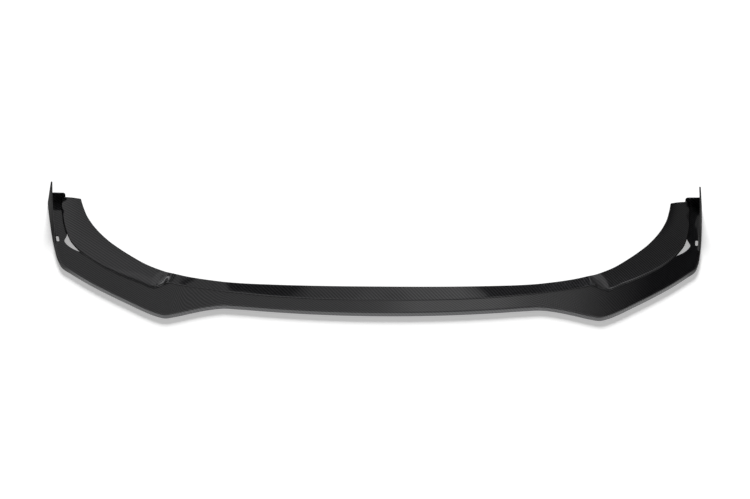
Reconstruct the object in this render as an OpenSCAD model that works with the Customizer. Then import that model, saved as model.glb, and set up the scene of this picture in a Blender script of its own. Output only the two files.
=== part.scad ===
// Front splitter lip: one carbon-fibre moulding that runs round the foot of a car's front bumper.
// Millimetres. X runs across the car, -Y is forward, +Z is up.
// The origin is the centre of the footprint, on the ground plane.
// The body is lofted through sections that run from the centre line out to the wheel arch.
// Each section has an outer edge, the foot of the upper skin, its top edge and the rear edge below.

/* [Overall] */
// Width across the two end fins
span_w = 1900; // [1700:10:2100]
// Depth from the foremost tips to the rear ends
sweep_d = 515; // [440:5:600]

/* [Blade] */
// Depth of the blade in front of the riser, at the centre line
blade_d = 57; // [45:1:70]
// Height of the blade's upper face over the turned-down front edge
blade_h = 14; // [10:0.5:22]
// Thickness of the moulded skin
skin_t = 3.5; // [2.5:0.25:5]
// Thickness of the turned-down front edge
edge_t = 4; // [3:0.25:6]
// Radius on the front edge
edge_r = 3; // [1:0.25:4]

/* [Upper skin] */
// Height of the side bands' inner edge, and of the riser at the centre line, over the blade
band_h = 24; // [16:1:40]
// Height of the riser over the blade where it dips, in front of the side bands
riser_h = 17; // [12:1:24]
// Width of the side bands in plan, where they are widest
band_w = 78; // [60:1:90]
// Height of the small wall along the foot of the side bands
foot_h = 5; // [3:0.5:8]
// Blend radius between the blade and the upper skin
foot_r = 3; // [1:0.5:5]
// Crown of the side bands
crown_h = 2; // [0:0.25:5]
// Rise of the band's outer edge over the blade at its free rear end
lift_h = 9; // [4:0.5:14]

/* [End fins] */
// Height of the fins over the blade at the rear ends
fin_h = 70; // [30:1:100]
// Length of the fins, from the rear ends forward
fin_l = 215; // [150:5:250]
// Thickness of the fins
fin_t = 5; // [3:0.25:8]
// Inward lean of the fins, in degrees
fin_lean = 9; // [0:0.5:18]

/* [End walls] */
// Height of the walls that close the rear ends, over the blade
wall_h = 31; // [16:1:50]
// Thickness of the end walls
wall_t = 4; // [3:0.25:6]
// Corner radius of the end walls
wall_r = 7; // [2:0.5:12]
// Reach of the end walls over the side bands
wall_reach = 14; // [8:1:20]

/* [Mounting flange] */
// Depth of the flange behind the riser's foot
flange_d = 54; // [50:1:62]
// Depth by which the flange's face is set down below the blade
set_h = 2; // [1:0.25:3]
// Distance from the riser's foot to the set-down face, clear of the sloping riser
set_d = 32; // [31.5:0.5:34]
// Run of the step down to that face
set_run = 2.5; // [1:0.25:4]
// Diameter of the screw holes
hole_d = 6.5; // [4.5:0.5:9]
// Number of screw holes
hole_n = 6; // [2:2:6]
// Distance between neighbouring holes
hole_pitch = 180; // [80:5:190]
// Distance from the flange's rear edge to the hole centres
hole_inset = 12; // [9:0.5:14]

/* [Relief slots] */
// Width of the slot at the front root of each fin
slot_w = 8; // [4:0.5:10]
// Length of that slot
slot_l = 28; // [16:1:40]
// Distance from the front root of the fin back to the slot
slot_setback = 23; // [10:1:60]
// Width of the strip left between the fin and the slot
slot_strip = 4.5; // [3:0.5:8]

/* [Smoothness] */
// Loft steps between neighbouring sections
loft_steps = 2; // [2:1:4]

/* [Hidden] */
carbon = [0.13, 0.13, 0.14];

// Sections of the right half, from the centre line outwards.
// edge: plan position of the outer edge on the ground.
// foot: from the edge to the foot of the upper skin.
// top: from the foot to the top edge of the upper skin.
// rear: from the foot to the rear edge of the lower skin, without the mounting flange.
// dip: 1 where the riser is at its lowest, 0 where the upper skin is as high as the bands.
// wall: 1 where the foot is a small wall of its own.
// flange: share of the mounting flange's depth.
// lift: share of the rise of the band's outer edge.
//          edge         foot        top         rear        dip   wall flange lift
SECTIONS = [
    section([0, 0],      [0, 57],    [0, 27.4],  [0, 0],     0,    0,   1,     0),
    section([110, 2],    [0, 55],    [0, 28.1],  [0, 0],     0.04, 0,   1,     0),
    section([220, 8],    [0, 54],    [0, 26.9],  [-1, 0],    0.24, 0,   1,     0),
    section([320, 17],   [0, 54],    [-4, 25.3], [-4, 0],    0.64, 0,   0.97,  0),
    section([400, 26],   [0, 57],    [-5, 20.5], [-6, 0],    0.92, 0,   0.85,  0),
    section([442, 29],   [0, 61],    [-5, 19],   [-6, 0],    1,    0,   0.8,   0),
    section([478, 23],   [0, 75],    [-7, 17],   [-7, 0],    1,    0,   0.77,  0),
    section([530, 7],    [0, 102],   [-9, 17],   [-9, 0],    1,    0,   0.7,   0),
    section([575, -9],   [-7, 127],  [-10, 19],  [-10, 8],   1,    0,   0.3,   0),
    section([602, -15],  [-6, 142],  [-14, 18],  [-10, 13],  0.9,  0.1, 0,     0),
    section([628, -6],   [-16, 120], [-12, 34],  [-8, 22],   0.5,  0.6, 0,     0),
    section([655, 10],   [-21, 94],  [-16, 49],  [-8, 20],   0,    1,   0,     0),
    section([700, 42],   [-18, 89],  [-28, 44],  [-8, 13],   0,    1,   0,     0),
    section([760, 86],   [-27, 76],  [-41, 45],  [-8, 12],   0,    1,   0,     0),
    section([820, 134],  [-28, 72],  [-56, 44],  [-9, 9],    0,    1,   0,     0),
    section([868, 178],  [-35, 70],  [-62, 42],  [-3, 4],    0,    1,   0,     0.05),
    section([895, 205],  [-39, 71],  [-62, 47],  [15, 4],    0,    1,   0,     0.2),
    section([908, 238],  [-35, 65],  [-63, 47],  [19, 6],    0,    1,   0,     0.4),
    section([919, 285],  [-31, 60],  [-64, 34],  [9, 0],     0,    1,   0,     0.6),
    section([929, 340],  [-31, 45],  [-64, 19],  [3.5, 0],   0,    1,   0,     0.75),
    section([939, 410],  [-33, 30],  [-61, 3],   [3, -1],    0,    1,   0,     0.9),
    section([950, 500],  [-38, 0],   [-59, -21], [3, 0],     0,    1,   0,     1)
];
function section(edge, foot, top, rear, dip, wall, flange, lift) =
    concat(edge, foot, top, rear, [dip, wall, flange, lift]);

// Column places inside one section
EDGE = 0;
FOOT = 2;
TOP = 4;
REAR = 6;
DIP = 8;
WALL = 9;
FLANGE = 10;
LIFT = 11;

// Measures that the section list was drawn with
function plan(s, place) = [s[place], s[place + 1]];
drawn_half_w = max([for (s = SECTIONS) s[EDGE]]);
drawn_rear_y = max([for (s = SECTIONS) s[EDGE + 1]]);
drawn_tip_y = min([for (s = SECTIONS) s[EDGE + 1]]);
drawn_blade_d = SECTIONS[0][FOOT + 1];
drawn_band_w = max([for (s = SECTIONS) norm(plan(s, TOP))]);

under_z = blade_h - skin_t;
stretch_x = span_w / 2 / drawn_half_w;
stretch_y = sweep_d / (drawn_rear_y - drawn_tip_y);
reach = blade_d / drawn_blade_d;
spread = band_w / drawn_band_w;
rear_y = drawn_rear_y * stretch_y;
tip_y = drawn_tip_y * stretch_y;
lean = tan(fin_lean);
fin_start_y = rear_y - fin_l;
// Run of the blend between the fin and the blade
root_r = 4;
// Chamfer where the turned-down edge meets the underside
hem_r = 2.5;
// Rounding where the foot wall turns into the band's face
crease_r = 2.5;
// Depth to which the upper skin and the end walls are sunk into the blade
embed = 2;
// Distance by which a cutter stands out of what it cuts
clear = 1;

// A section fitted to the chosen width and depth, blade depth and band width
function fitted(s) = [for (i = [0:len(s) - 1])
    s[i] * (i == EDGE ? stretch_x : i == EDGE + 1 ? stretch_y
        : i >= DIP ? 1 : i >= TOP && i < REAR ? spread : reach)];
// The same section on the other half
function mirrored(s) = [for (i = [0:len(s) - 1]) i < DIP && i % 2 == 0 ? -s[i] : s[i]];
right = [for (s = SECTIONS) fitted(s)];
last_row = len(right) - 1;
all_sections = concat([for (i = [last_row:-1:1]) mirrored(right[i])], right);

// Smooth curve through the sections: cubic pieces with slopes taken from both neighbours
spans = [for (i = [0:len(all_sections) - 2])
    norm(plan(all_sections[i + 1], EDGE) - plan(all_sections[i], EDGE))];
function slope_at(i) =
    i == 0 ? (all_sections[1] - all_sections[0]) / spans[0]
    : i == len(spans) ? (all_sections[i] - all_sections[i - 1]) / spans[i - 1]
    : let (before = spans[i - 1], after = spans[i])
        ((all_sections[i + 1] - all_sections[i]) / after * before
        + (all_sections[i] - all_sections[i - 1]) / before * after) / (before + after);
function between(i, f) = let (h = spans[i], g = 1 - f)
    all_sections[i] * (1 + 2 * f) * g * g + slope_at(i) * h * f * g * g
    + all_sections[i + 1] * f * f * (3 - 2 * f) - slope_at(i + 1) * h * f * f * g;
stations = concat(
    [for (i = [0:len(spans) - 1], j = [0:loft_steps - 1]) between(i, j / loft_steps)],
    [all_sections[len(spans)]]);
last = len(stations) - 1;

function edge_of(s) = plan(s, EDGE);
function foot_of(s) = edge_of(s) + plan(s, FOOT);
function top_of(s) = foot_of(s) + plan(s, TOP);
function rear_of(s) = foot_of(s) + plan(s, REAR) + [0, flange_d * s[FLANGE]];

// Direction from the outer edge into the part, square to the edge
function unit(v) = v / norm(v);
function inward(i) =
    i == 0 ? [1, 0] : i == last ? [-1, 0]
    : let (d = unit(edge_of(stations[i + 1]) - edge_of(stations[i - 1]))) [-d[1], d[0]];
function mix(a, b, f) = a * (1 - f) + b * f;

// Height of the fin over the blade: none up to its root, then rising ever faster to the rear
function fin_share(y) = y <= fin_start_y ? 0 : pow((y - fin_start_y) / (rear_y - fin_start_y), 1.5);

// Lower skin: turned-down edge or fin outside, then the flat blade or arm, and the set-down flange
function lower_section(i) = let (
        s = stations[i], e = edge_of(s), n = inward(i), g = rear_of(s),
        set = set_h * min(1, max(0, 4 * s[FLANGE] - 1.8)),
        start = mix(e + n * (fin_t + root_r), foot_of(s), min(1, max(0, 2.5 * s[FLANGE]))),
        step_top = mix(start, g, (set_d - set_run) / flange_d),
        step_low = mix(start, g, set_d / flange_d),
        flange = [
            [step_top, blade_h],
            [step_low, blade_h - set],
            [g, blade_h - set],
            [g, under_z - set],
            [step_low, under_z - set],
            [step_top, under_z]
        ],
        h = fin_h * fin_share(e[1]), full = min(1, h / (2 * root_r)), tip = lean * h,
        profile = [
            [0, 0],
            [0, blade_h / 2],
            [tip, blade_h + h - edge_r],
            [tip + 0.3 * edge_r, blade_h + h - 0.3 * edge_r],
            [tip + edge_r * mix(1, 0.8, full), blade_h + h],
            [mix(1.4 * edge_r, tip + fin_t, full), blade_h + h - 0.2 * fin_t * full],
            [fin_t * mix(1.3, 1.06, full), blade_h + root_r / 2 * full],
            [fin_t + root_r, blade_h]
        ],
        hem = [
            [edge_t + hem_r, under_z],
            [edge_t, under_z - hem_r],
            [edge_t, 0]
        ])
    concat(
        [for (p = profile) [e[0] + n[0] * p[0], e[1] + n[1] * p[0], p[1]]],
        [for (p = flange) [p[0][0], p[0][1], p[1]]],
        [for (p = hem) [e[0] + n[0] * p[0], e[1] + n[1] * p[0], p[1]]]);

// Upper skin: blend, foot wall, crowned face, top edge and the inner side, skin_t apart
function upper_section(i) = let (
        s = stations[i], f = foot_of(s), t = top_of(s), w = norm(t - f), d = (t - f) / w,
        base = blade_h + lift_h * s[LIFT],
        crest = blade_h + band_h + (riser_h - band_h) * s[DIP],
        wall = min(1, max(0, s[WALL])),
        blend = foot_r * max(0, 1 - 5 * s[LIFT]),
        k1 = [0, base], k3 = [w, crest],
        k2 = [foot_h * mix(w / (crest - base), 0.1, wall), base + foot_h],
        run = norm(k3 - k2), along = (k3 - k2) / run, inner = [along[1], -along[0]] * skin_t,
        bow = crown_h * wall, round_f = crease_r / run,
        mid = (k1 + k2) / 2, start = [-blend, base],
        turn = skin_t * (1 - along[1]) / along[0],
        k2_in = k2 + inner + along * turn,
        face = [for (q = [round_f, 0.25, 0.5, 0.75]) mix(k2, k3, q) + [0, 4 * bow * q * (1 - q)]],
        back = [for (q = [0.75, 0.5, 0.25]) mix(k2, k3, q) + [0, 4 * bow * q * (1 - q)] + inner],
        profile = concat(
            [[-blend, base - embed], start, (start + 2 * k1 + mid) / 4, mid, (mid + 2 * k2 + face[0]) / 4],
            face,
            [k3, k3 + inner / 2 + along * skin_t * 0.35, k3 + inner],
            back,
            [k2_in, [skin_t * 1.05, base - embed]]))
    [for (p = profile) [f[0] + d[0] * p[0], f[1] + d[1] * p[0], p[1]]];

// Solid through a row of closed sections that all have the same number of points
module loft(sections) {
    n = len(sections);
    m = len(sections[0]);
    function at(i, j) = i * m + j % m;
    polyhedron(
        points = [for (s = sections) each s],
        faces = concat(
            [[for (j = [m - 1:-1:0]) at(0, j)]],
            [for (i = [0:n - 2], j = [0:m - 1]) [at(i, j), at(i + 1, j + 1), at(i + 1, j)]],
            [for (i = [0:n - 2], j = [0:m - 1]) [at(i, j), at(i, j + 1), at(i + 1, j + 1)]],
            [[for (j = [0:m - 1]) at(n - 1, j)]]));
}

module lower_skin() {
    loft([for (i = [0:last]) lower_section(i)]);
}

module upper_skin() {
    loft([for (i = [0:last]) upper_section(i)]);
}

// Wall that closes the rear end between the band and the fin, at the wheel arch
module end_wall() {
    s = stations[last];
    band_x = foot_of(s)[0] - wall_reach;
    fin_x = edge_of(s)[0] - fin_t / 2;
    crest = blade_h + wall_h;
    arc = [for (a = [90:15:180]) [band_x + wall_r + wall_r * cos(a), crest - wall_r + wall_r * sin(a)]];
    translate([0, rear_y - clear / 2, 0])
        rotate([90, 0, 0])
            linear_extrude(wall_t)
                polygon(concat(
                    [[band_x, blade_h - embed], [fin_x, blade_h - embed], [fin_x - lean * wall_h, crest]],
                    arc));
}

// Screw holes in a row along the mounting flange, all the same distance from its rear edge
rear_line = [for (s = stations) if (abs(edge_of(s)[0]) < hole_n * hole_pitch / 2) rear_of(s)];
module screw_holes() {
    for (k = [0:hole_n - 1]) {
        x = (k - (hole_n - 1) / 2) * hole_pitch;
        translate([x, lookup(x, rear_line) - hole_inset, under_z - set_h - clear])
            cylinder(d = hole_d, h = skin_t + 2 * clear, $fn = 48);
    }
}

// Slot in the arm beside the front root of the fin, along the arm's outer edge
arm_line = [for (i = [floor(last / 2):last]) let (e = edge_of(stations[i]))
    if (e[1] > fin_start_y - fin_l / 2) [e[1], e[0]]];
function arm_point(y) = [lookup(y, arm_line), y];
module relief_slot() {
    front_y = fin_start_y + slot_setback;
    dir = unit(arm_point(front_y + slot_l) - arm_point(front_y));
    centre = arm_point(front_y + slot_l / 2) + [-dir[1], dir[0]] * (fin_t + slot_strip + slot_w / 2);
    half = (slot_l - slot_w) / 2;
    translate([centre[0], centre[1], under_z - clear])
        rotate(atan2(dir[1], dir[0]))
            linear_extrude(skin_t + 2 * clear) {
                square([2 * half, slot_w], center = true);
                for (side = [-1, 1])
                    translate([side * half, 0])
                        circle(d = slot_w, $fn = 32);
            }
}

// Both skins and the end walls as one moulding, brought to the exact overall width and depth
module moulding() {
    resize([span_w, sweep_d, 0])
        union() {
            lower_skin();
            upper_skin();
            end_wall();
            mirror([1, 0, 0]) end_wall();
        }
}

module splitter_lip() {
    color(carbon)
        translate([0, -(tip_y + rear_y) / 2, 0])
            difference() {
                moulding();
                screw_holes();
                relief_slot();
                mirror([1, 0, 0]) relief_slot();
            }
}

splitter_lip();
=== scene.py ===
"""Front splitter lip in glossy twill carbon fibre: finished surfaces, studio floor and camera."""

import math

import bmesh
import bpy
import numpy as np
from bpy.props import FloatProperty, FloatVectorProperty, IntProperty, PointerProperty
from mathutils import Matrix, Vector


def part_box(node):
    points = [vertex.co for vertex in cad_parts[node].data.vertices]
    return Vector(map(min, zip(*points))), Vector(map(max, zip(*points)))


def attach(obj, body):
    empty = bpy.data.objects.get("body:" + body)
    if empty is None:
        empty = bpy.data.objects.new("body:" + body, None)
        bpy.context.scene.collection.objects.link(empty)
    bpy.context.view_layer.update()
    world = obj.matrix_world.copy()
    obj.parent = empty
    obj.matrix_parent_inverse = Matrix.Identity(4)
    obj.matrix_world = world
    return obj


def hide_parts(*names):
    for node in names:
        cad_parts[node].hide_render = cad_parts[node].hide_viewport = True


bl_info = {
    "name": "Front splitter lip",
    "version": (1, 0, 0),
    "blender": (4, 5, 0),
    "location": "View3D > Sidebar > Splitter lip",
    "description": "Builds the skins of a carbon-fibre front splitter lip and its studio",
    "category": "Add Mesh",
}

NODE = "splitter_lip"
BODY = "root"
MM = 0.001

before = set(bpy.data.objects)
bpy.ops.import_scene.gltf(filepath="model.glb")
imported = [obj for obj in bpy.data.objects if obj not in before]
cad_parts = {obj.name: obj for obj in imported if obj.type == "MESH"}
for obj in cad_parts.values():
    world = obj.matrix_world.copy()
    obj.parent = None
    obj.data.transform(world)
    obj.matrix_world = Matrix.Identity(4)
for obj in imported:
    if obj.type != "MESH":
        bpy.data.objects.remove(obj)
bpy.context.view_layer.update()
LOW, HIGH = (np.array(corner, dtype=float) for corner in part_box(NODE))

# Places of the columns in one section: plan pairs first, then plain shares
EDGE, FOOT, TOP, REAR, DIP, WALL, FLANGE, LIFT = 0, 2, 4, 6, 8, 9, 10, 11

# Sections of the right half in millimetres, from the centre line out to the wheel arch.
# Each row holds the outer edge, then the steps to the foot, to the top edge and to the rear edge,
# then the shares of the riser's dip, the foot wall, the flange and the band's lift.
# In the last four rows the rear edge reaches in under the bands, so the slit closes beside the fins.
SECTIONS = np.array([
    [0, 0, 0, 57, 0, 27.4, 0, 0, 0, 0, 1, 0],
    [110, 2, 0, 55, 0, 28.1, 0, 0, 0.04, 0, 1, 0],
    [220, 8, 0, 54, 0, 26.9, -1, 0, 0.24, 0, 1, 0],
    [320, 17, 0, 54, -4, 25.3, -4, 0, 0.64, 0, 0.97, 0],
    [400, 26, 0, 57, -5, 20.5, -6, 0, 0.92, 0, 0.85, 0],
    [442, 29, 0, 61, -5, 19, -6, 0, 1, 0, 0.8, 0],
    [478, 23, 0, 75, -7, 17, -7, 0, 1, 0, 0.77, 0],
    [530, 7, 0, 102, -9, 17, -9, 0, 1, 0, 0.7, 0],
    [575, -9, -7, 127, -10, 19, -10, 8, 1, 0, 0.3, 0],
    [602, -15, -6, 142, -14, 18, -10, 13, 0.9, 0.1, 0, 0],
    [628, -6, -16, 120, -12, 34, -8, 22, 0.5, 0.6, 0, 0],
    [655, 10, -21, 94, -16, 49, -8, 20, 0, 1, 0, 0],
    [700, 42, -18, 89, -28, 44, -8, 13, 0, 1, 0, 0],
    [760, 86, -27, 76, -41, 45, -8, 12, 0, 1, 0, 0],
    [820, 134, -28, 72, -56, 44, -9, 9, 0, 1, 0, 0],
    [868, 178, -35, 70, -62, 42, -3, 4, 0, 1, 0, 0.05],
    [895, 205, -39, 71, -62, 47, 15, 4, 0, 1, 0, 0.2],
    [908, 238, -35, 65, -63, 47, 19, 6, 0, 1, 0, 0.4],
    [919, 285, -31, 60, -64, 34, -1, 0, 0, 1, 0, 0.6],
    [929, 340, -31, 45, -64, 19, -5, 0, 0, 1, 0, 0.75],
    [939, 410, -33, 30, -61, 3, -5, -1, 0, 1, 0, 0.9],
    [950, 500, -38, 0, -59, -21, -5, 0, 0, 1, 0, 1],
])


def length(name, description, default_mm):
    """A length setting, given in millimetres and kept in metres."""
    return FloatProperty(name=name, description=description, default=default_mm * MM,
                         min=0.0, precision=4, unit="LENGTH")


class LipSizes(bpy.types.PropertyGroup):
    """Sizes of the lip's skins, flange and fins."""

    blade_h: length("Blade height", "Height of the blade's upper face over the ground", 14)
    skin_t: length("Skin thickness", "Thickness of the moulded skin", 3.5)
    edge_t: length("Edge thickness", "Thickness of the turned-down front edge", 4)
    edge_r: length("Edge radius", "Radius on the front edge", 3)
    band_h: length("Band height", "Height of the bands' inner edge and of the riser at the centre line", 24)
    riser_h: length("Riser height", "Height of the riser where it dips, in front of the side bands", 17)
    band_w: length("Band width", "Width of the side bands in plan, where they are widest", 78)
    foot_h: length("Foot wall height", "Height of the small wall along the foot of the side bands", 5)
    foot_r: length("Foot blend", "Blend between the blade and the upper skin", 3)
    crown_h: length("Band crown", "Crown of the side bands", 2)
    lift_h: length("Band lift", "Rise of the band's outer edge at its free rear end", 9)
    fin_h: length("Fin height", "Height of the fins over the blade at the rear ends", 70)
    fin_l: length("Fin length", "Length of the fins, from the rear ends forward", 215)
    fin_t: length("Fin thickness", "Thickness of the fins", 5)
    fin_lean: FloatProperty(name="Fin lean", description="Inward lean of the fins",
                            default=math.radians(9), subtype="ANGLE")
    fin_set: length("Fin set-in", "Inward step of the fins' top edge near their front", 6)
    wall_h: length("End wall height", "Height of the end walls over the blade", 31)
    wall_t: length("End wall thickness", "Thickness of the end walls", 4)
    wall_r: length("End wall radius", "Corner radius of the end walls", 7)
    wall_reach: length("End wall reach", "Reach of the end walls over the side bands", 14)
    flange_d: length("Flange depth", "Depth of the flange behind the riser's foot", 54)
    set_h: length("Flange step", "Depth by which the flange is set down below the blade", 2)
    set_d: length("Flange step place", "Distance from the riser's foot to the set-down face", 32)
    set_run: length("Flange step run", "Run of the step down to the set-down face", 2.5)
    hole_d: length("Screw hole", "Diameter of the screw holes", 6.5)
    hole_pitch: length("Hole pitch", "Distance between neighbouring screw holes", 180)
    hole_inset: length("Hole inset", "Distance from the flange's rear edge to the holes", 12)
    hole_n: IntProperty(name="Screw holes", description="Number of screw holes", default=6)
    slot_w: length("Slot width", "Width of the slot beside each fin", 8)
    slot_l: length("Slot length", "Length of the slot beside each fin", 28)
    slot_setback: length("Slot setback", "Distance from the fin's front root to the slot", 23)
    slot_strip: length("Slot strip", "Width of the strip between the fin and the slot", 4.5)
    steps: IntProperty(name="Path steps", description="Steps between neighbouring sections",
                       default=12, min=2, max=24)


class CarbonFinish(bpy.types.PropertyGroup):
    """Cloth and clear coat of the carbon fibre."""

    tow_w: length("Tow width", "Width of one tow of the twill cloth", 2.5)
    # The warp is lighter than the weft: a painted sheen, on top of the real gloss that turns with each tow's
    # direction.
    warp: FloatVectorProperty(name="Warp", description="Colour of the tows across the car",
                              subtype="COLOR", size=3, min=0, max=1, default=(0.04, 0.04, 0.043))
    weft: FloatVectorProperty(name="Weft", description="Colour of the tows along the car",
                              subtype="COLOR", size=3, min=0, max=1, default=(0.018, 0.018, 0.02))
    fibre_rough: FloatProperty(name="Fibre roughness", description="Roughness of the fibres",
                               default=0.32, min=0, max=1, subtype="FACTOR")
    coat_rough: FloatProperty(name="Coat roughness", description="Roughness of the clear coat",
                              default=0.03, min=0, max=1, subtype="FACTOR")
    fibre_spread: FloatProperty(name="Fibre spread", description="How much more gloss spreads across a fibre",
                                default=0.9, min=0, max=1, subtype="FACTOR")
    relief: FloatProperty(name="Relief", description="Strength of the tows' rounding",
                          default=0.25, min=0, max=1, subtype="FACTOR")


class StudioSettings(bpy.types.PropertyGroup):
    """Camera, lamp and floor."""

    heading: FloatProperty(name="Heading", description="Turn of the camera to the right of straight back",
                           default=math.radians(3.6), subtype="ANGLE")
    pitch: FloatProperty(name="Pitch", description="Downward tilt of the camera",
                         default=math.radians(38.0), subtype="ANGLE")
    roll: FloatProperty(name="Roll", description="Roll of the camera about its own axis",
                        default=math.radians(-2.6168), subtype="ANGLE")
    lens: FloatProperty(name="Focal length", description="Focal length on a 36 mm wide sensor",
                        default=144.0, unit="CAMERA")
    distance: FloatProperty(name="Distance", description="Distance from the camera to its target",
                            default=8.547, unit="LENGTH")
    target: FloatVectorProperty(name="Target", description="Point at the middle of the picture",
                                default=(-0.0113, 0.0581, 0.0), subtype="TRANSLATION", unit="LENGTH")
    ambient: FloatProperty(name="Ambient level", description="Level of the plain light all round",
                           default=0.12, min=0)
    key: FloatProperty(name="Key light", description="Strength of the light from behind",
                       default=6.2, min=0)
    key_height: FloatProperty(name="Key height", description="Height of the light above the horizon",
                              default=math.radians(22), subtype="ANGLE")
    key_soft: FloatProperty(name="Key softness", description="Apparent size of the light",
                            default=math.radians(17), subtype="ANGLE")
    overhead: FloatProperty(name="Overhead level", description="Level that gloss sees straight above",
                            default=0.9, min=0)
    floor_own: FloatProperty(name="Floor white", description="White that the camera sees besides the light",
                             default=0.4, min=0)
    # The floor's levels in gloss are painted light: a painted glow in front of the lip and a painted shade
    # behind it.
    floor_front_painted_glow: FloatProperty(name="Floor in front", description="Level of the front floor seen in gloss",
                               default=2.0, min=0)
    floor_behind_painted_shade: FloatProperty(name="Floor behind", description="Level of the rear floor seen in gloss",
                                default=0.1, min=0)
    floor: FloatVectorProperty(name="Floor", description="Colour of the floor", subtype="COLOR", size=3,
                               min=0, max=1, default=(0.8, 0.8, 0.8))


def unit(v):
    """Vectors along the last axis, brought to length one."""
    return v / np.maximum(np.linalg.norm(v, axis=-1, keepdims=True), 1e-12)


def mix(a, b, f):
    """Straight mixture of a and b, all b where f is 1."""
    return a * (1 - f) + b * f


def centre_y():
    """Y of the section table's origin in the part's frame: half the swept depth forward of its middle."""
    drawn = SECTIONS[:, 1]
    return -(drawn.max() + drawn.min()) / 2 * (HIGH - LOW)[1] / np.ptp(drawn)


def path_rows(sizes):
    """Section rows along the whole lip, in metres, from the left rear end to the right one.

    Formula: the right half is mirrored, and neighbouring rows are joined by cubic pieces in the
    chord length of the outer edge. The slope at a row is the mean of the slopes of the chords
    before and after it, each weighted by the other chord's length."""
    half = SECTIONS.copy()
    half[:, EDGE:DIP] *= MM
    half[:, 0] *= (HIGH - LOW)[0] / 2 / half[:, 0].max()
    half[:, 1] *= (HIGH - LOW)[1] / np.ptp(half[:, 1])
    half[:, TOP:REAR] *= sizes.band_w / np.hypot(half[:, TOP], half[:, TOP + 1]).max()
    left = half[:0:-1].copy()
    left[:, EDGE:DIP:2] *= -1
    rows = np.vstack([left, half])
    span = np.linalg.norm(np.diff(rows[:, :2], axis=0), axis=1)[:, None]
    run = np.diff(rows, axis=0) / span
    middle = (run[1:] * span[:-1] + run[:-1] * span[1:]) / (span[:-1] + span[1:])
    slope = np.vstack([run[:1], middle, run[-1:]])
    f = (np.arange(sizes.steps) / sizes.steps)[None, :, None]
    g = 1 - f
    h = span[:, None]
    curve = (rows[:-1, None] * (1 + 2 * f) * g * g + slope[:-1, None] * h * f * g * g
             + rows[1:, None] * f * f * (3 - 2 * f) - slope[1:, None] * h * f * f * g)
    rows = np.vstack([curve.reshape(-1, rows.shape[1]), rows[-1:]])
    rows[:, 1] += centre_y()
    return rows


def plan_lines(sizes, rows):
    """Plan lines of the outer edge, foot, top edge and rear edge, and the inward direction.

    Formula: each line is the one before plus its own step, and the inward direction is the
    outer edge's direction turned a quarter to the left."""
    edge = rows[:, EDGE:FOOT]
    foot = edge + rows[:, FOOT:TOP]
    top = foot + rows[:, TOP:REAR]
    rear = foot + rows[:, REAR:DIP]
    rear[:, 1] += sizes.flange_d * rows[:, FLANGE]
    along = unit(edge[2:] - edge[:-2])
    inward = np.column_stack([-along[:, 1], along[:, 0]])
    inward = np.vstack([[1, 0], inward, [-1, 0]])
    return edge, foot, top, rear, inward


def rounded(rows, cuts, steps=4):
    """Closed rows of points with their corners eased.

    Formula: a corner with a cut gives way to a quadratic curve that leaves the side before it
    and meets the side after it at the cut's distance, or at 0.45 of a shorter side."""
    before = np.roll(rows, 1, axis=1) - rows
    after = np.roll(rows, -1, axis=1) - rows
    t = np.linspace(0, 1, steps + 1)[None, :, None]
    out = []
    for k, cut in enumerate(cuts):
        p = rows[:, k:k + 1]
        if cut == 0:
            out.append(p)
            continue
        ends = []
        for side in (before[:, k:k + 1], after[:, k:k + 1]):
            size = np.linalg.norm(side, axis=-1, keepdims=True)
            ends.append(p + side * np.minimum(cut * MM / np.maximum(size, 1e-9), 0.45))
        out.append(ends[0] * (1 - t) ** 2 + 2 * p * t * (1 - t) + ends[1] * t * t)
    counts = np.array([o.shape[1] for o in out])
    return np.concatenate(out, axis=1), np.cumsum(counts) - counts


def arc_lengths(rows):
    """Length along each row of points, from its first point."""
    step = np.linalg.norm(np.diff(rows, axis=1), axis=-1)
    return np.concatenate([np.zeros((len(rows), 1)), np.cumsum(step, axis=1)], axis=1)


def loft_faces(n, m, start=0, flip=False):
    """Quads between n closed rows of m points, and a face over each end."""
    i, j = np.meshgrid(np.arange(n - 1), np.arange(m), indexing="ij")
    a, b = i * m + j, i * m + (j + 1) % m
    quads = np.stack([a, a + m, b + m, b], axis=-1).reshape(-1, 4)
    faces = [list(map(int, q)) for q in quads + start]
    faces += [[start + k for k in range(m)], [start + (n - 1) * m + k for k in range(m - 1, -1, -1)]]
    return [f[::-1] for f in faces] if flip else faces


def mesh_object(name, points, faces, uvs=None):
    """A mesh object at the origin, with a cloth map where one is given."""
    mesh = bpy.data.meshes.new(name)
    mesh.from_pydata(points.reshape(-1, 3).tolist(), [], faces)
    if uvs is not None:
        corner = np.empty(len(mesh.loops), dtype=np.int32)
        mesh.loops.foreach_get("vertex_index", corner)
        layer = mesh.uv_layers.new(name="cloth")
        layer.data.foreach_set("uv", uvs.reshape(-1, 2)[corner].astype(np.float32).ravel())
    piece = bpy.data.objects.new(name, mesh)
    bpy.context.scene.collection.objects.link(piece)
    return piece


def finish_piece(piece, crease=math.radians(40)):
    """Merges doubled points, shades the piece smooth up to its creases and ties it to the frame."""
    work = bmesh.new()
    work.from_mesh(piece.data)
    bmesh.ops.remove_doubles(work, verts=work.verts, dist=2e-6)
    bmesh.ops.dissolve_degenerate(work, edges=work.edges, dist=2e-6)
    work.to_mesh(piece.data)
    work.free()
    piece.data.shade_smooth()
    piece.data.set_sharp_from_angle(angle=crease)
    flats = piece.modifiers.new("Flats stay flat", "WEIGHTED_NORMAL")
    flats.keep_sharp = True
    flats.weight = 100
    piece.data.materials.clear()
    piece.data.materials.append(twill_carbon(bpy.context.scene.carbon_finish))
    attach(piece, BODY)
    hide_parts(NODE)


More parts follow.
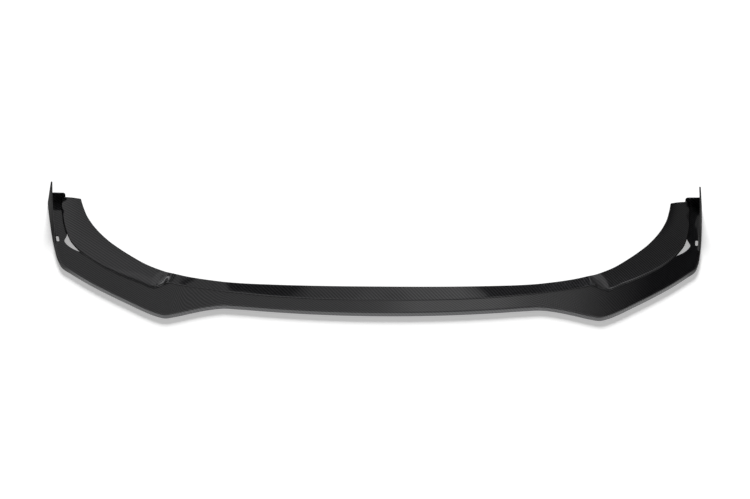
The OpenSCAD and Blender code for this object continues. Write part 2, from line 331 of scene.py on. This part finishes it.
def lower_rows(sizes, rows):
    """Corner points of the lower skin in each section: outer edge or fin, blade, flange, hem.

    Formula: the fin's height grows with the power 1.5 of the distance behind its root, and its
    top stands inward by the lean's tangent times that height, and by a step that comes in over
    three root radii and fades out towards the rear. The flange's points lie at fixed
    shares of the way from the foot to the rear edge, and on the arms from the fin's root."""
    edge, foot, _, rear, inward = plan_lines(sizes, rows)
    start_y = HIGH[1] - sizes.fin_l
    share = np.clip((edge[:, 1] - start_y) / sizes.fin_l, 0, None) ** 1.5
    h = sizes.fin_h * share
    root_r, hem_r = 4 * MM, 2.5 * MM
    full = np.minimum(1, h / (2 * root_r))
    lean = math.tan(sizes.fin_lean) * h
    tip = lean + sizes.fin_set * np.minimum(1, h / (3 * root_r)) * (1 - h / sizes.fin_h)
    top = sizes.blade_h + h
    blade = np.full_like(h, sizes.blade_h)
    zero = np.zeros_like(h)
    edge_r, fin_t = sizes.edge_r, sizes.fin_t
    inner_top = np.maximum(lean + fin_t, tip + 0.5 * fin_t)
    inner_z = blade + root_r / 2 * full
    outer_there = tip * (inner_z - blade / 2) / (top - edge_r - blade / 2)
    inner_root = np.maximum(fin_t * mix(1.3, 1.06, full), outer_there + 0.5 * fin_t)
    profile = [
        (zero, zero), (zero, blade / 2), (tip, top - edge_r), (tip + 0.3 * edge_r, top - 0.3 * edge_r),
        (tip + edge_r * mix(1, 0.8, full), top),
        (mix(1.4 * edge_r + tip, inner_top, full), top - 0.2 * fin_t * full),
        (inner_root, inner_z), (zero + fin_t + root_r, blade)]
    under = blade - sizes.skin_t
    hem = [(zero + sizes.edge_t + hem_r, under), (zero + sizes.edge_t, under - hem_r),
           (zero + sizes.edge_t, zero)]

    def outer(pairs):
        return [np.column_stack([edge + inward * p[:, None], z]) for p, z in pairs]

    set_down = sizes.set_h * np.clip(4 * rows[:, FLANGE] - 1.8, 0, 1)
    start = mix(edge + inward * (fin_t + root_r), foot, np.clip(2.5 * rows[:, FLANGE:FLANGE + 1], 0, 1))
    step_top = mix(start, rear, (sizes.set_d - sizes.set_run) / sizes.flange_d)
    step_low = mix(start, rear, sizes.set_d / sizes.flange_d)
    flange = [np.column_stack(pair) for pair in (
        (step_top, blade), (step_low, blade - set_down), (rear, blade - set_down),
        (rear, under - set_down), (step_low, under - set_down), (step_top, under))]
    return np.stack(outer(profile) + flange + outer(hem), axis=1), inward


def upper_rows(sizes, rows):
    """Corner points of the upper skin in each section: blend, foot wall, crowned face, inner side.

    Formula: the face runs straight from the top of the foot wall to the top edge, plus a crown of
    four times its height times q times 1 - q, and the inner side is the face moved in by the
    skin's thickness."""
    _, foot, top, _, _ = plan_lines(sizes, rows)
    w = np.linalg.norm(top - foot, axis=1)
    outward = (top - foot) / w[:, None]
    base = sizes.blade_h + sizes.lift_h * rows[:, LIFT]
    crest = sizes.blade_h + sizes.band_h + (sizes.riser_h - sizes.band_h) * rows[:, DIP]
    wall = np.clip(rows[:, WALL], 0, 1)
    blend = sizes.foot_r * np.maximum(0, 1 - 5 * rows[:, LIFT])
    skin, embed = sizes.skin_t, 2 * MM
    zero = np.zeros_like(w)
    k1 = np.stack([zero, base], axis=-1)
    k2 = np.stack([sizes.foot_h * mix(w / (crest - base), 0.1, wall), base + sizes.foot_h], axis=-1)
    k3 = np.stack([w, crest], axis=-1)
    along = unit(k3 - k2)
    inner = np.stack([along[:, 1], -along[:, 0]], axis=-1) * skin
    bow = 4 * (sizes.crown_h * wall)[:, None] * np.array([0, 1])
    face = [mix(k2, k3, q) + bow * q * (1 - q) for q in np.linspace(0.1, 0.9, 9)]
    turn = (skin * (1 - along[:, 1]) / along[:, 0])[:, None]
    points = ([np.stack([-blend, base - embed], axis=-1), np.stack([-blend, base], axis=-1), k1, k2] + face
              + [k3, k3 + inner / 2 + along * skin * 0.35, k3 + inner] + [p + inner for p in face[::-1]]
              + [k2 + inner + along * turn, np.stack([zero + 1.05 * skin, base - embed], axis=-1)])
    placed = [np.column_stack([foot + outward * p[:, :1], p[:, 1]]) for p in points]
    return np.stack(placed, axis=1), foot, outward


def prism(outline, low, high):
    """Upright prism over a closed plan outline, as two rows of points."""
    flat = np.ones((len(outline), 1))
    return np.stack([np.hstack([outline, flat * low]), np.hstack([outline, flat * high])])


def cutters(sizes, rows):
    """Prisms of the screw holes and of the slots beside the fins.

    Formula: a hole lies a fixed inset in front of the flange's rear edge at its own X, and a slot
    lies along the chord of the arm's outer edge, moved inward past the fin and the strip."""
    edge, _, _, rear, _ = plan_lines(sizes, rows)
    turn = np.linspace(0, 2 * math.pi, 48, endpoint=False)
    ring = np.column_stack([np.cos(turn), np.sin(turn)])
    low, high = 0.003, 0.02
    shapes = []
    middle = np.abs(rear[:, 0]) < sizes.hole_n * sizes.hole_pitch / 2
    for k in range(sizes.hole_n):
        x = (k - (sizes.hole_n - 1) / 2) * sizes.hole_pitch
        y = np.interp(x, rear[middle, 0], rear[middle, 1]) - sizes.hole_inset
        shapes.append(prism(ring * sizes.hole_d / 2 + [x, y], low, high))
    arm = edge[len(edge) // 2:][edge[len(edge) // 2:, 1] > HIGH[1] - 1.5 * sizes.fin_l]
    front = HIGH[1] - sizes.fin_l + sizes.slot_setback

    def arm_point(y):
        return np.array([np.interp(y, arm[:, 1], arm[:, 0]), y])

    way = unit(arm_point(front + sizes.slot_l) - arm_point(front))
    side = np.array([-way[1], way[0]])
    centre = arm_point(front + sizes.slot_l / 2) + side * (sizes.fin_t + sizes.slot_strip + sizes.slot_w / 2)
    half = (sizes.slot_l - sizes.slot_w) / 2
    ends = np.sign(np.round(ring[:, :1], 6)) * [half, 0]
    local = ring * sizes.slot_w / 2 + ends
    outline = centre + local[:, :1] * way + local[:, 1:] * side
    shapes.append(prism(outline, low, high))
    shapes.append(prism((outline * [-1, 1])[::-1], low, high))
    return shapes


def cut_out(piece, shapes):
    """Cuts the prisms out of the piece, and leaves its mesh cut and the prisms gone."""
    faces, points, start = [], [], 0
    for shape in shapes:
        faces += loft_faces(2, shape.shape[1], start, flip=True)
        points.append(shape.reshape(-1, 3))
        start += shape.shape[0] * shape.shape[1]
    tool = mesh_object("cutter", np.concatenate(points), faces)
    cut = piece.modifiers.new("Holes", "BOOLEAN")
    cut.operation = "DIFFERENCE"
    cut.solver = "EXACT"
    cut.object = tool
    whole = piece.evaluated_get(bpy.context.evaluated_depsgraph_get())
    mesh = bpy.data.meshes.new_from_object(whole)
    piece.modifiers.clear()
    old, piece.data = piece.data, mesh
    bpy.data.meshes.remove(old)
    tool_mesh = tool.data
    bpy.data.objects.remove(tool)
    bpy.data.meshes.remove(tool_mesh)
    mesh.name = piece.name


class Graph:
    """Short hand for the nodes of one material or world."""

    def __init__(self, tree):
        self.tree = tree
        tree.nodes.clear()

    def node(self, kind, **settings):
        made = self.tree.nodes.new(kind)
        for key, value in settings.items():
            setattr(made, key, value)
        return made

    def put(self, socket, value):
        """Links an output to the socket, or sets a plain value on it."""
        if isinstance(value, bpy.types.NodeSocket):
            self.tree.links.new(value, socket)
        else:
            socket.default_value = value

    def math(self, operation, *values):
        made = self.node("ShaderNodeMath", operation=operation)
        for socket, value in zip(made.inputs, values):
            self.put(socket, value)
        return made.outputs[0]

    def ramp(self, fac, stops):
        """Colour ramp through (place, level) stops."""
        made = self.node("ShaderNodeValToRGB")
        self.put(made.inputs["Fac"], fac)
        points = made.color_ramp.elements
        while len(points) < len(stops):
            points.new(0.5)
        for point, (place, level) in zip(points, stops):
            point.position = place
            point.color = (level, level, level, 1)
        return made.outputs["Color"]


def twill_carbon(finish):
    """Clear-coated 2x2 twill cloth on the piece's own cloth map.

    Formula: with i and j the numbers of the tow across and along, the warp lies on top where
    i + j modulo 4 is under 2. A tow's height falls with the square of the distance from its
    middle, and each float arches over the two tows that it covers."""
    found = bpy.data.materials.get("twill_carbon")
    if found:
        return found
    material = bpy.data.materials.new("twill_carbon")
    material.use_nodes = True
    g = Graph(material.node_tree)
    cloth = g.node("ShaderNodeUVMap", uv_map="cloth").outputs["UV"]
    parts = g.node("ShaderNodeSeparateXYZ")
    g.put(parts.inputs[0], cloth)
    u = g.math("DIVIDE", parts.outputs["X"], finish.tow_w)
    v = g.math("DIVIDE", parts.outputs["Y"], finish.tow_w)
    i, j = g.math("FLOOR", u), g.math("FLOOR", v)
    fu, fv = g.math("SUBTRACT", u, i), g.math("SUBTRACT", v, j)
    k = g.math("FLOORED_MODULO", g.math("ADD", i, j), 4.0)
    on_top = g.math("LESS_THAN", k, 1.5)

    def hump(x, middle, half):
        """1 in the middle and 0 at half on either side."""
        away = g.math("DIVIDE", g.math("SUBTRACT", x, middle), half)
        return g.math("SUBTRACT", 1.0, g.math("MULTIPLY", away, away))

    warp_h = g.math("MULTIPLY", hump(fu, 0.5, 0.55), hump(g.math("ADD", k, fv), 1.0, 1.3))
    weft_k = g.math("SUBTRACT", k, 2.0)
    weft_h = g.math("MULTIPLY", hump(fv, 0.5, 0.55), hump(g.math("ADD", weft_k, fu), 1.0, 1.3))
    height = g.node("ShaderNodeMix", data_type="FLOAT")
    g.put(height.inputs[0], on_top)
    g.put(height.inputs[2], weft_h)
    g.put(height.inputs[3], warp_h)
    height = height.outputs[0]
    # Warp and weft colours differ as a painted sheen; the fibres' anisotropic gloss, turned with each tow,
    # adds the real sheen.
    colour = g.node("ShaderNodeMix", data_type="RGBA")
    g.put(colour.inputs[0], on_top)
    g.put(colour.inputs[6], (*finish.weft, 1))
    g.put(colour.inputs[7], (*finish.warp, 1))
    # Painted shade: the colour darkens where a tow's height falls, at its edges and where it dips under, in
    # the grooves between tows.
    painted_groove_shade = g.node("ShaderNodeMix", data_type="RGBA", blend_type="MULTIPLY")
    g.put(painted_groove_shade.inputs[0], 1.0)
    g.put(painted_groove_shade.inputs[6], colour.outputs[2])
    g.put(painted_groove_shade.inputs[7], g.ramp(height, [(0.0, 0.45), (0.8, 1.0)]))
    bump = g.node("ShaderNodeBump")
    g.put(bump.inputs["Strength"], finish.relief)
    g.put(bump.inputs["Distance"], 0.0001)
    g.put(bump.inputs["Height"], height)
    shader = g.node("ShaderNodeBsdfPrincipled")
    g.put(shader.inputs["Base Color"], painted_groove_shade.outputs[2])
    g.put(shader.inputs["Metallic"], 1.0)
    g.put(shader.inputs["Specular Tint"], (0.05, 0.05, 0.05, 1))
    g.put(shader.inputs["Roughness"], finish.fibre_rough)
    g.put(shader.inputs["Anisotropic"], finish.fibre_spread)
    g.put(shader.inputs["Anisotropic Rotation"], g.math("MULTIPLY", on_top, 0.25))
    across = g.node("ShaderNodeTangent", direction_type="UV_MAP", uv_map="cloth")
    g.put(shader.inputs["Tangent"], across.outputs[0])
    g.put(shader.inputs["Normal"], bump.outputs[0])
    g.put(shader.inputs["Coat Weight"], 1.0)
    g.put(shader.inputs["Coat Roughness"], finish.coat_rough)
    g.put(shader.inputs["Coat IOR"], 1.5)
    g.put(g.node("ShaderNodeOutputMaterial").inputs["Surface"], shader.outputs[0])
    return material


# Levels of the surroundings that gloss shows, as (degrees, level) pairs.
# Behind the lip they change with the direction round the vertical, 0 straight behind and 90 to the
# right: a bright wall behind that ends on the right, and a large soft box on either side.
BEHIND = [(-110, 0.3), (-90, 0.6), (-60, 0.8), (-50, 0.6), (-30, 0.6), (-3, 0.4), (1, 0.5), (3.6, 0.55),
          (4.6, 1.0), (6.6, 1.0), (7.6, 0.64), (8.6, 0.52), (9.2, 0.5), (9.5, 0.01), (14, 0.01), (24, 0.2),
          (62, 0.2), (80, 0.15), (88, 0.7), (110, 0.7)]
# In front they change with the height over the horizon: a white strip, a plain room, and on the
# far right a soft box
IN_FRONT = [(0, 0.5), (5.5, 0.5), (9, 0.38), (90, 0.38)]
FRONT_RIGHT = [(0, 0.75), (20, 0.75), (24, 0.38), (90, 0.38)]
FAR_RIGHT = [(0, 0.45), (26, 0.45), (30, 3.0), (42, 3.0), (47, 0.45), (90, 0.45)]
# High in front they change with the direction again, 0 straight in front and 90 to the right: soft
# boxes with gaps between them
OVERHEAD = [(-90, 0.6), (-46, 0.6), (-40, 0.1), (-36, 0.1), (-32, 0.6), (-24, 0.6), (-22, 0.02), (-12, 0.02),
            (-6, 0.5), (4, 0.6), (8, 1.0), (20, 1.2), (27, 0.7), (29, 0.05), (62, 0.05), (70, 1.2), (90, 1.2)]


def studio_world(studio):
    """White to the camera, plain to dull surfaces, and to gloss a level that changes with direction.

    Formula: behind the lip the direction's angle round the vertical goes through a ramp of levels.
    In front its height over the horizon goes through one of three ramps, and high up its angle from
    straight in front goes through a fourth. Straight above lies one level. Soft steps join them."""
    world = bpy.data.worlds.new("studio")
    bpy.context.scene.world = world
    world.use_nodes = True
    g = Graph(world.node_tree)
    way = g.node("ShaderNodeSeparateXYZ")
    g.put(way.inputs[0], g.node("ShaderNodeTexCoord").outputs["Generated"])
    around = g.math("MULTIPLY", g.math("ARCTAN2", way.outputs["X"], way.outputs["Y"]), 180 / math.pi)
    height = g.math("MULTIPLY", g.math("ARCSINE", way.outputs["Z"]), 180 / math.pi)

    def levels(angle, stops, low, high):
        place = g.node("ShaderNodeMapRange")
        for name, value in (("Value", angle), ("From Min", low), ("From Max", high)):
            g.put(place.inputs[name], value)
        return g.ramp(place.outputs[0], [((a - low) / (high - low), level) for a, level in stops])

    def blend(fac, a, b):
        made = g.node("ShaderNodeMix", data_type="RGBA")
        for place, value in ((0, fac), (6, a), (7, b)):
            g.put(made.inputs[place], value)
        return made.outputs[2]

    def step(value, low, high):
        made = g.node("ShaderNodeMapRange", interpolation_type="SMOOTHSTEP")
        for name, x in (("Value", value), ("From Min", low), ("From Max", high)):
            g.put(made.inputs[name], x)
        return made.outputs[0]

    behind = levels(around, BEHIND, -120, 120)
    right = g.math("SUBTRACT", step(around, 150, 154), step(around, 174, 178))
    far_right = g.math("SUBTRACT", step(around, 90, 94), step(around, 150, 154))
    front = blend(right, levels(height, IN_FRONT, 0, 90), levels(height, FRONT_RIGHT, 0, 90))
    front = blend(far_right, front, levels(height, FAR_RIGHT, 0, 90))
    forward = g.math("MULTIPLY", way.outputs["Y"], -1.0)
    ahead = g.math("MULTIPLY", g.math("ARCTAN2", way.outputs["X"], forward), 180 / math.pi)
    front = blend(step(height, 45, 50), front, levels(ahead, OVERHEAD, -90, 90))
    gloss_level = blend(step(g.math("ABSOLUTE", around), 95, 110), behind, front)
    above = (studio.overhead, studio.overhead, studio.overhead, 1)
    gloss_level = blend(step(height, 66, 72), gloss_level, above)
    path = g.node("ShaderNodeLightPath")
    plain = (studio.ambient, studio.ambient, studio.ambient, 1)
    unseen = blend(path.outputs["Is Glossy Ray"], plain, gloss_level)
    seen = blend(path.outputs["Is Camera Ray"], unseen, (1, 1, 1, 1))
    light = g.node("ShaderNodeBackground")
    g.put(light.inputs["Color"], seen)
    g.put(light.inputs["Strength"], 1.0)
    g.put(g.node("ShaderNodeOutputWorld").inputs["Surface"], light.outputs[0])


def floor_paint(studio):
    """Pale floor that keeps shadows, with a little of its own white where the camera sees it.

    Formula: gloss sees a painted reflection instead, a level that falls by a smooth step from a painted glow
    in front of the lip to a painted shade behind its blade."""
    material = bpy.data.materials.new("floor_paint")
    material.use_nodes = True
    g = Graph(material.node_tree)
    dull = g.node("ShaderNodeBsdfDiffuse")
    g.put(dull.inputs["Color"], (*studio.floor, 1))
    path = g.node("ShaderNodeLightPath")
    own = g.node("ShaderNodeEmission")
    g.put(own.inputs["Strength"], g.math("MULTIPLY", path.outputs["Is Camera Ray"], studio.floor_own))
    both = g.node("ShaderNodeAddShader")
    g.put(both.inputs[0], dull.outputs[0])
    g.put(both.inputs[1], own.outputs[0])
    place = g.node("ShaderNodeSeparateXYZ")
    g.put(place.inputs[0], g.node("ShaderNodeTexCoord").outputs["Object"])
    # Painted reflection: gloss sees a painted glow on the floor in front of the lip and a painted shade
    # behind its blade.
    painted_floor_level = g.node("ShaderNodeMapRange", interpolation_type="SMOOTHSTEP")
    for name, value in (("Value", place.outputs["Y"]), ("From Min", -0.12), ("From Max", 0.0),
                        ("To Min", studio.floor_front_painted_glow), ("To Max", studio.floor_behind_painted_shade)):
        g.put(painted_floor_level.inputs[name], value)
    painted_floor_reflection = g.node("ShaderNodeEmission")
    g.put(painted_floor_reflection.inputs["Strength"], painted_floor_level.outputs[0])
    seen = g.node("ShaderNodeMixShader")
    g.put(seen.inputs[0], path.outputs["Is Glossy Ray"])
    g.put(seen.inputs[1], both.outputs[0])
    g.put(seen.inputs[2], painted_floor_reflection.outputs[0])
    g.put(g.node("ShaderNodeOutputMaterial").inputs["Surface"], seen.outputs[0])
    return material


def aimed(right, up, forward, place):
    """Matrix of a camera or lamp that looks along forward."""
    axes = np.column_stack([right, up, -np.array(forward)])
    matrix = Matrix(axes.tolist()).to_4x4()
    matrix.translation = place
    return matrix


def place_camera(studio):
    """Camera on the line through its target.

    Formula: the forward direction is the pitch below the horizon and the heading to the right of
    straight back, and right and up are turned about it by the roll."""
    a, p, r = studio.heading, studio.pitch, studio.roll
    forward = np.array([math.cos(p) * math.sin(a), math.cos(p) * math.cos(a), -math.sin(p)])
    flat = np.array([math.cos(a), -math.sin(a), 0.0])
    rise = np.cross(flat, forward)
    right = math.cos(r) * flat - math.sin(r) * rise
    up = math.sin(r) * flat + math.cos(r) * rise
    data = bpy.data.cameras.new("camera")
    data.sensor_width = 36.0
    data.lens = studio.lens
    data.clip_end = 100.0
    camera = bpy.data.objects.new("camera", data)
    camera.matrix_world = aimed(right, up, forward, np.array(studio.target) - forward * studio.distance)
    bpy.context.scene.collection.objects.link(camera)
    bpy.context.scene.camera = camera


def place_lamp(studio):
    """Soft light from behind, which draws the shadow in front of the lip and no highlight on it."""
    data = bpy.data.lights.new("key", "SUN")
    data.energy = studio.key
    data.angle = studio.key_soft
    lamp = bpy.data.objects.new("key", data)
    down = np.array([0, -math.cos(studio.key_height), -math.sin(studio.key_height)])
    side = np.array([-1.0, 0, 0])
    lamp.matrix_world = aimed(side, np.cross(side, down), down, (0, 3, 2))
    lamp.visible_glossy = False
    bpy.context.scene.collection.objects.link(lamp)


class LIP_OT_lower_skin(bpy.types.Operator):
    """Make the blade with its turned-down edge, fins, arms and mounting flange"""

    bl_idname = "lip.lower_skin"
    bl_label = "Lower skin"

    def execute(self, context):
        sizes = context.scene.lip_sizes
        rows = path_rows(sizes)
        corners, inward = lower_rows(sizes, rows)
        cuts = [0.5, 3, 1, 1, 1, 0.8, 1.5, 2, 1.5, 1.5, 0.8, 0.8, 1.5, 1.5, 1, 1, 0.5]
        points, first = rounded(corners, cuts)
        run = arc_lengths(points)
        blade = first[8]
        uvs = points[:, :, :2].copy()
        away = (run[:, blade:blade + 1] - run[:, :blade])[:, :, None]
        uvs[:, :blade] = points[:, blade:blade + 1, :2] - inward[:, None] * away
        piece = mesh_object("lower_skin", points, loft_faces(*points.shape[:2]), uvs)
        cut_out(piece, cutters(sizes, rows))
        finish_piece(piece)
        return {"FINISHED"}


class LIP_OT_upper_skin(bpy.types.Operator):
    """Make the riser along the middle and the raised side bands"""

    bl_idname = "lip.upper_skin"
    bl_label = "Upper skin"

    def execute(self, context):
        sizes = context.scene.lip_sizes
        corners, foot, outward = upper_rows(sizes, path_rows(sizes))
        cuts = [0, 0, 3, 2.5] + [0] * 9 + [0.8, 1.2, 0.8] + [0] * 9 + [2, 0]
        points, first = rounded(corners, cuts)
        run = arc_lengths(points)
        uvs = foot[:, None] + outward[:, None] * (run - run[:, first[2]:first[2] + 1])[:, :, None]
        piece = mesh_object("upper_skin", points, loft_faces(*points.shape[:2]), uvs)
        finish_piece(piece)
        return {"FINISHED"}


class LIP_OT_end_walls(bpy.types.Operator):
    """Make the walls that close both rear ends at the wheel arches"""

    bl_idname = "lip.end_walls"
    bl_label = "End walls"

    def execute(self, context):
        sizes = context.scene.lip_sizes
        edge, foot, _, _, _ = plan_lines(sizes, path_rows(sizes))
        r, crest = sizes.wall_r, sizes.blade_h + sizes.wall_h
        band_x, fin_x = foot[-1, 0] - sizes.wall_reach, edge[-1, 0] - sizes.fin_t / 2
        turn = np.radians(np.linspace(90, 180, 9))
        low = sizes.blade_h - 2 * MM
        arc = np.column_stack([band_x + r + r * np.cos(turn), crest - r + r * np.sin(turn)])
        slant = math.tan(sizes.fin_lean) * sizes.wall_h
        outline = np.vstack([[band_x, low], [fin_x, low], [fin_x - slant, crest], arc])
        middle = outline.mean(axis=0)
        back = HIGH[1] - 0.5 * MM
        ease = 0.7 * MM
        rows = []
        front = back - sizes.wall_t
        for inset, y in ((ease, back), (0, back - ease), (0, front + ease), (ease, front)):
            line = outline + unit(middle - outline) * inset
            rows.append(np.column_stack([line[:, 0], np.full(len(line), y), line[:, 1]]))
        right = np.stack(rows)
        left = right * [-1, 1, 1]
        n, m = right.shape[:2]
        faces = loft_faces(n, m) + loft_faces(n, m, start=n * m, flip=True)
        points = np.concatenate([right.reshape(-1, 3), left.reshape(-1, 3)])
        piece = mesh_object("end_walls", points, faces, points[:, [0, 2]])
        finish_piece(piece)
        return {"FINISHED"}


class LIP_OT_studio(bpy.types.Operator):
    """Make the floor, the surroundings, the light and the camera"""

    bl_idname = "lip.studio"
    bl_label = "Studio"

    def execute(self, context):
        studio = context.scene.lip_studio
        reach = 30.0
        corners = np.array([[-reach, -reach, 0], [reach, -reach, 0], [reach, reach, 0], [-reach, reach, 0]])
        floor = mesh_object("floor", corners, [[0, 1, 2, 3]])
        floor.data.materials.append(floor_paint(studio))
        studio_world(studio)
        place_lamp(studio)
        place_camera(studio)
        context.scene.view_settings.view_transform = "Standard"
        return {"FINISHED"}


class LIP_PT_panel(bpy.types.Panel):
    """Sizes, finish and steps of the splitter lip"""

    bl_idname = "LIP_PT_panel"
    bl_label = "Splitter lip"
    bl_space_type = "VIEW_3D"
    bl_region_type = "UI"
    bl_category = "Splitter lip"

    def draw(self, context):
        scene = context.scene
        groups = (("Sizes", scene.lip_sizes), ("Carbon", scene.carbon_finish), ("Studio", scene.lip_studio))
        for title, group in groups:
            box = self.layout.box()
            box.label(text=title)
            for name in group.__annotations__:
                box.prop(group, name)
        for operator in OPERATORS:
            self.layout.operator(operator.bl_idname)


OPERATORS = (LIP_OT_lower_skin, LIP_OT_upper_skin, LIP_OT_end_walls, LIP_OT_studio)
CLASSES = (LipSizes, CarbonFinish, StudioSettings, *OPERATORS, LIP_PT_panel)


def register():
    for cls in CLASSES:
        bpy.utils.register_class(cls)
    bpy.types.Scene.lip_sizes = PointerProperty(type=LipSizes)
    bpy.types.Scene.carbon_finish = PointerProperty(type=CarbonFinish)
    bpy.types.Scene.lip_studio = PointerProperty(type=StudioSettings)


def unregister():
    del bpy.types.Scene.lip_sizes, bpy.types.Scene.carbon_finish, bpy.types.Scene.lip_studio
    for cls in reversed(CLASSES):
        bpy.utils.unregister_class(cls)


def main():
    """Builds everything in order."""
    register()
    bpy.ops.lip.lower_skin()
    bpy.ops.lip.upper_skin()
    bpy.ops.lip.end_walls()
    bpy.ops.lip.studio()
    bpy.context.view_layer.update()


if __name__ == "__main__":
    main()
